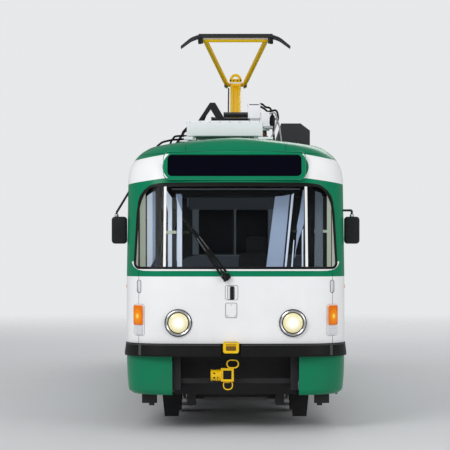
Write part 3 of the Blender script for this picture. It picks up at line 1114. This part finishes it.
make_piece("pan_spring_posts", gather(box(x - 0.022, x + 0.022, y - 0.02, y + 0.02, 4.842, 4.935, 0.006)
                                      for x in (-0.485, 0.485) for side, y in bars), trim["cab black"], "pan_head")
make_piece("pan_bar_caps", gather(rod((-0.46, y - 0.026 * side, 4.925), (0.46, y - 0.026 * side, 4.925), 0.1, 0.004, 6)
                                  for side, y in bars), trim["slat grey"], "pan_head")

# Resistor boxes: upright ribs, front plates and vent slats; conduits with clips. Columns: hand, first and last y
resistor_spans = [(1, -3.5, -0.3), (1, 0.3, 3.5), (-1, 0.3, 3.5)]
rib = np.array([(0.600, 3.27), (0.600, 3.712), (0.855, 3.712), (0.981, 3.616), (0.981, 3.27)])
make_piece("resistor_ribs", gather(cut_plate(rib * (side, 1), y - 0.009, y + 0.009) for side, y0, y1 in resistor_spans
                                   for y in np.arange(y0 + 0.2, y1, 0.4)), trim["fin grey"])
front_lip = np.array([(0.603, 3.26), (0.603, 3.70), (0.851, 3.70), (0.970, 3.609), (0.970, 3.26)])
make_piece("resistor_front_plates", gather(cut_plate(front_lip * (side, 1), y0 - 0.006, y0)
                                           for side, y0, y1 in resistor_spans), roof_dark)
slats = gather(box(*sorted((side * 0.978, side * 0.984)), y + 0.03, y + 0.37, z, z + 0.018, 0.002, 0.002)
               for side, y0, y1 in resistor_spans for y in np.arange(y0 + 0.2, y1 - 0.3, 0.4)
               for z in (3.32, 3.38, 3.44, 3.50, 3.56))
make_piece("resistor_slats", slats, trim["outline dark"])
make_piece("roof_conduits", gather(rod((x, -1.0, 3.335), (x, 5.4, 3.335), 0.4, 0.016, 10) for x in (-0.50, 0.50)),
           trim["fin grey"])
clips = mirrored(box(0.47, 0.53, -0.02, 0.02, 3.29, 3.345, 0.004))
make_piece("roof_conduit_clips", shifted(clips, [(0, y, 0) for y in np.arange(-0.8, 5.4, 0.8)]), bright_metal)

# Door leaves: panes, rubbers round them, finger rubbers and kick plates. Each rides on its leaf
leaf_panes = [(1.000, 0.700), (2.030, 1.060)]
leaf_spans = {"a1": (-0.637, -0.327), "a2": (-0.317, -0.007), "b2": (0.007, 0.317), "b1": (0.327, 0.637)}
finger_edges = {"a2": -0.0075, "b2": 0.0075}
outward = (0, -1, 0)
for number, door_y in enumerate(door_places, 1):
    for leaf in ("a1", "a2", "b2", "b1"):
        name = f"door{number}_{leaf}"
        near, far = leaf_spans[leaf]
        middle = ((door_y + near) + (door_y + far)) / 2
        make_piece(f"{name}_panes", gather(onto(block(0.203, tall - 0.002, 0.006, 0.039, 0.002, 6), (-1.178, middle, z),
                                                outward) for z, tall in leaf_panes), window_glass, name)
        rubbers = [onto(edge_line(0.207, tall + 0.004, 0.042, 0.013, 0.008), (x, middle, z), outward)
                   for z, tall in leaf_panes for x in (-1.1965, -1.1655)]
        if leaf in finger_edges:
            edge = door_y + finger_edges[leaf]
            rubbers.append(rod((-1.181, edge, 0.43), (-1.181, edge, 2.68), 0.3, 0.0045, 8))
        make_piece(f"{name}_rubbers", gather(rubbers), gasket_rubber, name)
        kick_plate = onto(block(0.262, 0.150, 0.0025, 0.006, 0.001), (-1.196, middle, 0.535), outward)
        make_piece(f"{name}_kick_plate", kick_plate, trim["slat grey"], name)


def facing(side, shape, x, y, z):
    """Lays a shape on the side of one hand, its outward measure away from the body."""
    return onto(shape, (side * x, y, z), (0, side, 0))


def on_wall(side, shape, y, z, proud=-0.0005):
    """Lays a shape on the side wall, standing off its skin or let into it a little."""
    return facing(side, shape, body_half + proud, y, z)


# Side windows: rails and latches of the tilting upper panes. Columns: hand, place along the side, width
window_rows = [(side, y, 1.18) for side in (-1, 1) for y in (-3.983, -2.650, -1.317, 1.317, 2.650, 3.983)]
window_rows += [(1, 0.0, 1.18), (1, 5.3, 1.18), (1, -5.39, 0.82)]
rails = gather(on_wall(side, bead([(-wide / 2 + 0.03, 0), (wide / 2 - 0.03, 0)], 0.009, 0.008, 0.2), y, z, 0.0015)
               for side, y, wide in window_rows for z in (2.487, 2.473))
make_piece("window_vent_rails", rails, gasket_rubber)
latches = gather(onto(block(0.05, 0.022, 0.014, 0.006, 0.004), (side * 1.199, y + a, 2.525), (0, -side, 0))
                 for side, y, wide in window_rows for a in (-wide / 4, wide / 4))
make_piece("window_latches", latches, black_moulding)
outer_lines = gather(on_wall(side, edge_line(wide - 0.004, 0.926, 0.10, 0.008, 0.006, 0.03), y, 2.285, 0.0025)
                     for side, y, wide in window_rows)
make_piece("window_rubber_lips", outer_lines, gasket_rubber)

# Sides: reflectors, repeaters, door buttons, hatch rims and locks on the skirts
reflector = knob([(0.034, 0), (0.034, 0.006), (0.028, 0.011), (0.0004, 0.013)], 24)
base_ring = knob([(0.041, 0), (0.041, 0.004), (0.036, 0.006)], 24)
reflector_places = [(side, y) for side, ends in ((-1, (1.9, 3.2)), (1, (1.6, 4.6)))
                    for y in (-ends[1], -ends[0], *ends)]
for name, shape, proud, finish in [("side_reflectors", reflector, 0.0015, amber_lens),
                                   ("reflector_rings", base_ring, -0.0005, gasket_rubber)]:
    make_piece(name, gather(on_wall(side, shape, y, 0.785, proud) for side, y in reflector_places), finish)
repeater = on_wall(-1, block(0.10, 0.045, 0.022, 0.016, 0.008), -6.13, 1.62)
make_piece("side_repeaters", both_ends(mirrored(repeater)), amber_lens)
button = knob([(0.045, 0), (0.045, 0.006), (0.036, 0.010), (0.030, 0.010), (0.026, 0.016), (0.0004, 0.018)], 28)
button_places = [y + 0.80 for y in door_places[:2]] + [4.48]
make_piece("door_buttons", gather(on_wall(-1, button, y, 1.46) for y in button_places), trim["amber dot"])
hatch_tall = 0.30
hatch_rows = [(1, y, 0.62) for y in (-1.2, -0.3, 0.6, 1.5)] + [(1, -5.2, 0.50), (1, 5.2, 0.50), (-1, -1.3, 0.46),
                                                               (-1, 1.3, 0.46)]
make_piece("skirt_hatch_rims", gather(on_wall(side, edge_line(wide, hatch_tall, 0.03, 0.006), y, 0.60, 0.0005)
                                      for side, y, wide in hatch_rows), trim["outline dark"])
lock = knob([(0.012, 0), (0.012, 0.003), (0.006, 0.004)], 14)
make_piece("skirt_hatch_locks", gather(on_wall(side, lock, y + a * (wide / 2 - 0.05), 0.70)
                                       for side, y, wide in hatch_rows for a in (-1, 1)), bright_metal)
make_piece("side_hatch_rims", gather(on_wall(1, edge_line(0.24, 0.34, 0.02, 0.005), y, 1.30, 0.0005)
                                     for y in (-5.85, 5.82)), trim["outline dark"])

# Rear: rim of the inspection lid, grips under the screen, dividers of the tail lamps
make_piece("rear_lid_rim", onto(edge_line(0.70, 0.50, 0.03, 0.006), (0, 6.931, 1.36), (-1, 0, 0)),
           trim["outline dark"])
grip_line = [(0.42, 6.926), (0.42, 6.975), (0.50, 6.978), (0.58, 6.972), (0.58, 6.922)]
make_piece("rear_grips", mirrored(tube(flowing([(x, y, 1.66) for x, y in grip_line], 6), 0.010, 10)), black_moulding)
tail_band = on_nose(plate(0.094, 0.010, 0.006, 0.003, 0.002), -1.01, 1.24, 0.022)
make_piece("tail_lamp_dividers", mirrored(at_rear(tail_band)), trim["outline dark"])

# Mirrors: glass on the rear face, moulded front and clamps on the arms. Ends of the drip rails
mirror_glass = onto(block(0.150, 0.286, 0.004, 0.03, 0.002), (-1.35, -6.1655, 2.27), (-1, 0, 0))
make_piece("mirror_glasses", mirrored(mirror_glass), mirror_silver)
mirror_shell = onto(block(0.166, 0.303, 0.010, 0.038, 0.009, 8), (-1.35, -6.2345, 2.27))
make_piece("mirror_shells", mirrored(mirror_shell), black_moulding)
make_piece("mirror_clamps", gather(turned([(0.020, -0.02), (0.023, -0.015), (0.023, 0.015), (0.020, 0.02)],
                                          (x, -6.2, 2.435), (0, 0, 1), 16) for x in (-1.383, 1.35)), bright_metal)
drip_end = turned([(0.017, -0.01), (0.019, 0), (0.012, 0.008)], (0, 0, 0), (0, -1, 0), 14)
make_piece("drip_rail_ends", both_ends(mirrored(shifted(drip_end, [(1.245, -5.985, 2.862)]))), white_paint)


def signed_power(value, power):
    """Power of the size of a value, with its sign kept."""
    return np.sign(value) * np.abs(value)**power


def cushion(wide, deep, tall, rows=15, cols=44):
    """Closed pillow: rounded squares in plan and in section, full at the middle, drawn in where the seam runs."""
    rise = np.linspace(-pi / 2, pi / 2, rows)[:, None]
    turn = np.linspace(0, 2 * pi, cols, endpoint=False)[None, :]
    pinch = 1 - 0.035 * np.exp(-(rise / 0.22)**2)
    reach = signed_power(np.cos(rise), 0.30) * pinch
    x, y = reach * signed_power(np.cos(turn), 0.30), reach * signed_power(np.sin(turn), 0.30)
    crown = 0.74 + 0.26 * (1 - x**2) * (1 - y**2)
    z = signed_power(np.sin(rise), 0.5) * crown
    return grid(np.stack([x * wide / 2, y * deep / 2, z * tall / 2], 2), round_v=True, caps=True)


def filled(shape, voxel, steps=20, cap=0.022):
    """Cushion blown up by the cloth solver: a skin held along its seam under inner pressure, fitted into its box."""
    scene = bpy.context.scene
    mesh = bpy.data.meshes.new("cushion skin")
    mesh.from_pydata(shape[0].tolist(), [], shape[1])
    form = bpy.data.objects.new("cushion skin", mesh)
    scene.collection.objects.link(form)
    skin = form.modifiers.new("skin", "REMESH")
    skin.mode, skin.voxel_size = "VOXEL", voxel
    fine = bpy.data.meshes.new_from_object(form.evaluated_get(bpy.context.evaluated_depsgraph_get()))
    form.modifiers.clear()
    form.data = fine
    start = np.empty(len(fine.vertices) * 3)
    fine.vertices.foreach_get("co", start)
    start = start.reshape(-1, 3)
    seam = form.vertex_groups.new(name="seam")
    seam.add(np.flatnonzero(np.abs(start[:, 2]) < voxel * 0.55).tolist(), 1.0, "REPLACE")
    cloth = form.modifiers.new("filling", "CLOTH")
    cloth.settings.vertex_group_mass = "seam"
    cloth.settings.use_pressure = True
    cloth.settings.uniform_pressure_force = 4.0
    cloth.settings.effector_weights.gravity = 0.0
    cloth.point_cache.frame_start, cloth.point_cache.frame_end = 1, steps
    for number in range(1, steps + 1):
        scene.frame_set(number)
    blown = form.evaluated_get(bpy.context.evaluated_depsgraph_get()).to_mesh()
    points = np.empty(len(blown.vertices) * 3)
    blown.vertices.foreach_get("co", points)
    points = points.reshape(-1, 3)
    faces = [list(face.vertices) for face in blown.polygons]
    scene.frame_set(1)
    move = points - start
    reach = np.linalg.norm(move, axis=1)[:, None]
    points = start + move * np.minimum(1, cap / np.maximum(reach, 1e-9))
    low, high = shape[0].min(0), shape[0].max(0)
    points = low + (points - points.min(0)) * (high - low) / (points.max(0) - points.min(0))
    bpy.data.objects.remove(form)
    return points, faces


def piping(wide, deep, thick=0.004):
    """Cord sewn round the seam of a cushion."""
    turn = np.linspace(0, 2 * pi, 72, endpoint=False)
    path = np.column_stack([size / 2 * 0.968 * signed_power(along(turn), 0.30)
                            for size, along in ((wide, np.cos), (deep, np.sin))])
    return swept(even(on_plane(path), 0.022, True), disc(2 * thick, 2 * thick, 6), closed=True)


# Passenger seats: crowned cushions with piped seams on moulded shells. Columns: x, places along the saloon
seat_columns = [
    (0.960, [-4.700, -3.920, -3.140, -2.360, -1.580, -0.800, 0.800, 1.580, 2.360, 3.140, 3.920]),
    (0.530, [-3.920, -3.140, -2.360, -1.580, 1.580, 2.360, 3.140, 3.920]),
    (-0.960, [-3.980, -3.140, -2.300, -1.460, 1.460, 2.300, 3.140, 3.980]),
]
seat_places = [(x, y, 0) for x, places in seat_columns for y in places]
seat_size, seat_at = (0.400, 0.378), (0, -0.018, 1.377)
back_size, back_at = (0.392, 0.472), (0, 0.186, 1.622)
seat_part = shifted(filled(cushion(*seat_size, 0.046), 0.0125), [seat_at])
back_part = onto(filled(cushion(*back_size, 0.032), 0.0125), back_at)
seat_cords = join(shifted(piping(*seat_size), [seat_at]), onto(piping(*back_size, 0.0035), back_at))
shells = join(shifted(block(0.410, 0.405, 0.008, 0.04, 0.003, 4), [(0, -0.005, 1.350)]),
              onto(block(0.410, 0.500, 0.010, 0.05, 0.004, 4), (0, 0.205, 1.620)),
              box(-0.17, 0.17, 0.17, 0.213, 1.345, 1.40, 0.01, 0.006))
column = turned([(0.055, 0), (0.055, 0.006), (0.034, 0.02), (0.034, 0.42), (0.050, 0.448), (0.050, 0.452)],
                (0, 0, floor_z), (0, 0, 1), 12)
columns = join(column, box(-0.10, 0.10, -0.10, 0.10, floor_z, 0.906, 0.02, 0.003))
for name, shape, finish in [("seat_cushions", seat_part, seat_cloth), ("seat_backs", back_part, seat_cloth),
                            ("seat_pipings", seat_cords, trim["outline dark"]), ("seat_shells", shells, seat_shell),
                            ("seat_columns", columns, step_paint)]:
    make_piece(name, shifted(shape, seat_places), finish)
for made in ("seat_cushions", "seat_backs", "seat_shells", "seat_columns"):
    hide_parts("passenger_seats")

# Driver's seat on its sprung column
driver_cloth = weave_finish("driver cloth", colour(24, 25, 28), colour(52, 54, 60))
driver_x, driver_y, driver_voxel = 0.25, -5.855, 0.009
driver_at, driver_size = (driver_x, driver_y, 1.396), (0.452, 0.462)
driver_pads = [("driver_back", (0.440, 0.600), (driver_x, -5.662, 1.715)),
               ("driver_headrest", (0.250, 0.185), (driver_x, -5.658, 2.103))]
make_piece("driver_cushion", shifted(filled(cushion(*driver_size, 0.084), driver_voxel), [driver_at]), driver_cloth)
for name, size, at in driver_pads:
    make_piece(name, onto(filled(cushion(*size, 0.070), driver_voxel), at), driver_cloth)
driver_cords = join(shifted(piping(*driver_size), [driver_at]),
                    *[onto(piping(*size), at) for name, size, at in driver_pads])
make_piece("driver_pipings", driver_cords, trim["outline dark"])
folds = [(0.14 - 0.03 * (number % 2), 0.03 + 0.045 * number) for number in range(8)]
bellows = turned([(0.16, 0), *folds, (0.16, 0.40), (0.16, 0.445)], (driver_x, driver_y, floor_z), (0, 0, 1), 28)
make_piece("driver_seat_bellows", bellows, gasket_rubber)
frame_parts = join(box(0.035, 0.465, -6.07, -5.63, 1.336, 1.356, 0.03, 0.006),
                   onto(block(0.420, 0.600, 0.014, 0.06, 0.005), (driver_x, -5.612, 1.712)),
                   *[box(x, x + 0.015, -5.65, -5.635, 1.98, 2.05, 0.004, 0.002) for x in (0.20, 0.285)])
make_piece("driver_seat_frame", frame_parts, trim["cab black"])
for made in ("driver_cushion", "driver_back", "driver_headrest", "driver_seat_bellows", "driver_seat_frame"):
    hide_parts("driver_seat")

# Desk: dials, switch rows and two hand levers
desk_z, dial_places = 1.5595, (-0.32, -0.22, -0.12)
dials = join(*[hoop((x, -6.55, desk_z + 0.003), 0.035, 0.004, (0, 0, 1), 24) for x in dial_places],
             *[turned([(0.034, 0), (0.034, 0.003), (0.0004, 0.004)], (x, -6.55, desk_z), (0, 0, 1), 24)
               for x in dial_places])
make_piece("desk_dials", dials, trim["trim pale"])
switch_places = [(x, y, desk_z) for x in np.arange(-0.38, 0.90, 0.045) for y in (-6.40, -6.36)]
make_piece("desk_switches", shifted(box(-0.008, 0.008, -0.012, 0.012, 0, 0.014, 0.004, 0.003), switch_places),
           trim["slat grey"])
lever_head = [(0.006, -0.03), (0.022, -0.018), (0.024, 0.0), (0.016, 0.02), (0.0004, 0.026)]
levers = gather(join(rod((x, -6.47, 1.555), (x, -6.46, 1.66), 0.02, 0.009, 10),
                     turned(lever_head, (x, -6.46, 1.675), (0, 0, 1), 18)) for x in (0.05, 0.47))
make_piece("desk_levers", levers, trim["cab black"])

# Saloon: ceiling lights, pole fittings, ticket boxes, heaters with slots, floor edges
points, faces = block(0.15, 1.20, 0.030, 0.03, 0.012)
light_places = [(x, y, 2.795) for x in (-0.30, 0.30) for y in np.arange(-4.3, 5.0, 1.55)]
ceiling_light = worn_finish("ceiling light cover", colour(240, 240, 232), amount=0.05, gloss=(0.4, 0.5), bump=0.01,
                            Emission_Color=colour(255, 250, 236), Emission_Strength=1.6)
make_piece("ceiling_lights", shifted((points * (1, 1, -1), faces), light_places), ceiling_light)
fitting = knob([(0.020, 0), (0.030, 0.004), (0.030, 0.012), (0.022, 0.03), (0.022, 0.04)], 18)
pole_places = [(x, y, floor_z) for x in (-0.560, 0.560) for y in (-4.56, -0.76, 0.76, 4.56)]
make_piece("pole_fittings", shifted(fitting, pole_places), black_moulding)
ticket_boxes = gather(join(box(x - 0.045, x + 0.045, y + 0.018, y + 0.085, 1.92, 2.12, 0.012, 0.008),
                           box(x - 0.024, x + 0.024, y - 0.024, y + 0.024, 1.97, 2.07, 0.01))
                      for x, y in ((-0.56, -4.56), (-0.56, 0.76), (0.56, -0.76)))
make_piece("ticket_boxes", ticket_boxes, rail_yellow)
heater_places = [(1, y) for y in (-4.3, -2.7, -1.0, 1.0, 2.7, 4.3)] + [(-1, y) for y in (-3.6, -1.7, 1.7, 3.6)]
make_piece("wall_heaters", gather(box(side * 1.155 - 0.03, side * 1.155 + 0.03, y - 0.55, y + 0.55, 0.93, 1.13, 0.01,
                                      0.008) for side, y in heater_places), grey_lining)
make_piece("heater_slots", gather(box(side * 1.124 - 0.002, side * 1.124 + 0.002, y - 0.5, y + 0.5, z, z + 0.012, 0.001,
                                      0.001) for side, y in heater_places for z in (0.98, 1.02, 1.06)),
           trim["cab black"])
make_piece("floor_edge_strips", gather(box(-0.625, -0.585, y - 0.60, y + 0.60, 0.899, 0.905, 0.004, 0.003)
                                       for y in door_places), rail_yellow)

# Bogies: bolster springs, motor ribs, brake shoes, bolts and hoses; all ride on their bogie
for bogie_body, bogie_y in bogie_places:
    coils = gather(coil((x, bogie_y, 0.582), (x, bogie_y, 0.638), 0.090, 0.011, 2.5) for x in (-0.55, 0.55))
    ribs = gather(hoop((0, bogie_y + side * at, 0.43), 0.167, 0.006, (0, 1, 0), 36, 6)
                  for side in (-1, 1) for at in np.arange(0.30, 0.76, 0.07))
    shoe_places = [(x, bogie_y + y, 0) for x in (-0.75, 0.75) for y in (-0.19, -0.07, 0.07, 0.19)]
    shoes = shifted(box(-0.032, 0.032, -0.055, 0.055, 0.150, 0.172, 0.004, 0.003), shoe_places)
    frame_bolts = bolts([(x, bogie_y - 1.152, z) for x in (-0.50, -0.40, 0.40, 0.50) for z in (0.51, 0.545)],
                        0.011, 0.010)
    box_bolts = bolts([(x, bogie_y + y, 0.582) for x in (-0.575, -0.525, 0.525, 0.575)
                       for y in (-1.05, -0.85, 0.85, 1.05)], 0.012, 0.010, (0, 0, 1))
    hoses = gather(tube(flowing([(x, bogie_y - 0.30, 0.60), (x * 1.03, bogie_y - 0.42, 0.63), (x, bogie_y - 0.60, 0.60),
                                 (x, bogie_y - 0.72, 0.575)]), 0.013, 8) for x in (-0.50, 0.50))
    for name, shape, finish in [("springs", coils, frame_black), ("motor_ribs", ribs, frame_black),
                                ("brake_shoes", shoes, step_paint), ("bolts", join(frame_bolts, box_bolts), step_paint),
                                ("hoses", hoses, gasket_rubber)]:
        make_piece(f"{bogie_body}_{name}", shape, finish, bogie_body)

# Wheels: bolts round each hub and a wear groove ring
hub_reach = 0.070
for number, axle_y in enumerate(axle_places, 1):
    hub = [(0.797, axle_y + hub_reach * np.cos(turn), axle_z + hub_reach * np.sin(turn))
           for turn in np.linspace(0, 2 * pi, 8, endpoint=False)]
    heads = bolts(hub, 0.012, 0.014, (1, 0, 0))
    rim_ring = hoop((0.7655, axle_y, axle_z), 0.298, 0.004, (1, 0, 0), 48, 6)
    make_piece(f"wheelset_{number}_hub_bolts", mirrored(join(heads, rim_ring)), step_paint, f"wheelset_{number}")

# Boxes under the floor: lids and latches. Columns: hand, place along the side, width, lower edge
lid_top = 0.762
lid_rows = [(1, -1.16, 0.62, 0.40), (1, -0.41, 0.62, 0.43), (1, 0.29, 0.62, 0.43), (1, 1.13, 0.66, 0.40),
            (-1, -1.13, 0.66, 0.40), (-1, 1.13, 0.66, 0.43)]
make_piece("underfloor_lids", gather(facing(side, block(wide, lid_top - low - 0.07, 0.006, 0.02, 0.003), 1.130, y,
                                            (low + lid_top) / 2) for side, y, wide, low in lid_rows), frame_black)
make_piece("underfloor_latches", gather(facing(side, block(0.035, 0.05, 0.014, 0.006, 0.004), 1.135, y + a * wide / 3,
                                               low + 0.06) for side, y, wide, low in lid_rows for a in (-1, 1)),
           bright_metal)

# Camera at the photograph's angle
photo_wide = 450
focal = 1790
axis_x, axis_y = 235.6, 253.4
eye = bpy.data.cameras.new("camera")
eye.lens = focal * eye.sensor_width / photo_wide
eye.shift_x = (photo_wide / 2 - axis_x) / photo_wide
eye.shift_y = (axis_y - photo_wide / 2) / photo_wide
eye.clip_end = 500
camera = bpy.data.objects.new("camera", eye)
camera.location = (0, -27, 2)
camera.rotation_euler = (pi / 2, 0, 0)
bpy.context.scene.collection.objects.link(camera)
bpy.context.scene.camera = camera
bpy.context.scene.view_settings.view_transform = "Standard"


# Studio: three large soft lamps, a pale surround and a pale floor that fades into it
def soft_lamp(name, place, aim, wide, tall, level):
    """Rectangular lamp whose face has the given brightness."""
    light = bpy.data.lights.new(name, "AREA")
    light.shape = "RECTANGLE"
    light.size, light.size_y = wide, tall
    light.energy = level * pi * wide * tall
    lamp = bpy.data.objects.new(name, light)
    bpy.context.scene.collection.objects.link(lamp)
    lamp.location = place
    lamp.visible_camera = lamp.visible_transmission = False
    toward = np.array(aim, float) - np.array(place, float)
    from_place = -toward / np.linalg.norm(toward)
    lamp.rotation_mode = "XYZ"
    lamp.rotation_euler = (np.arccos(from_place[2]), 0, np.arctan2(from_place[0], -from_place[1]))


soft_lamp("key lamp", (-13, -24, 15), (0, -3, 1.5), 12, 9, 6.6)
soft_lamp("fill lamp", (15, -20, 8), (0, -3, 1.5), 10, 8, 3.0)
soft_lamp("rear lamp", (6, 22, 16), (0, 2, 2.5), 14, 8, 3.4)

surround = bpy.data.worlds.new("surround")
bpy.context.scene.world = surround
surround.use_nodes = True
w = Wiring(surround.node_tree)
seen = w.add("LightPath").outputs
shown = w.most(seen["Is Camera Ray"], w.most(seen["Is Glossy Ray"], seen["Is Transmission Ray"]))
glossy_or_clear = w.mix(seen["Is Glossy Ray"], (0.80, 0.81, 0.82, 1), (0.30, 0.305, 0.31, 1))
back = surround.node_tree.nodes["Background"]
w.feed(back.inputs, Color=w.mix(shown, (0.62, 0.63, 0.65, 1), glossy_or_clear), Strength=1.0)

floor_size = 90.0
ground_mesh = bpy.data.meshes.new("studio_floor")
ground_mesh.from_pydata([(x * floor_size, y * floor_size, -0.002) for x, y in ((-1, -1), (1, -1), (1, 1), (-1, 1))],
                        [], [(0, 1, 2, 3)])
ground = bpy.data.objects.new("studio_floor", ground_mesh)
bpy.context.scene.collection.objects.link(ground)
ground_paint, w, shader = new_material("studio floor")
reach = w.add("VectorMath", {0: w.add("TexCoord").outputs["Object"]}, operation="LENGTH").outputs["Value"]
w.feed(shader, Base_Color=w.mix(w.spots(0.8, 4.0), (0.66, 0.665, 0.67, 1), (0.69, 0.695, 0.70, 1)),
       Alpha=w.step(reach, 34.0, 12.0), Roughness=w.plus(0.7, w.times(w.spots(3.0), 0.1)))
ground_mesh.materials.append(ground_paint)
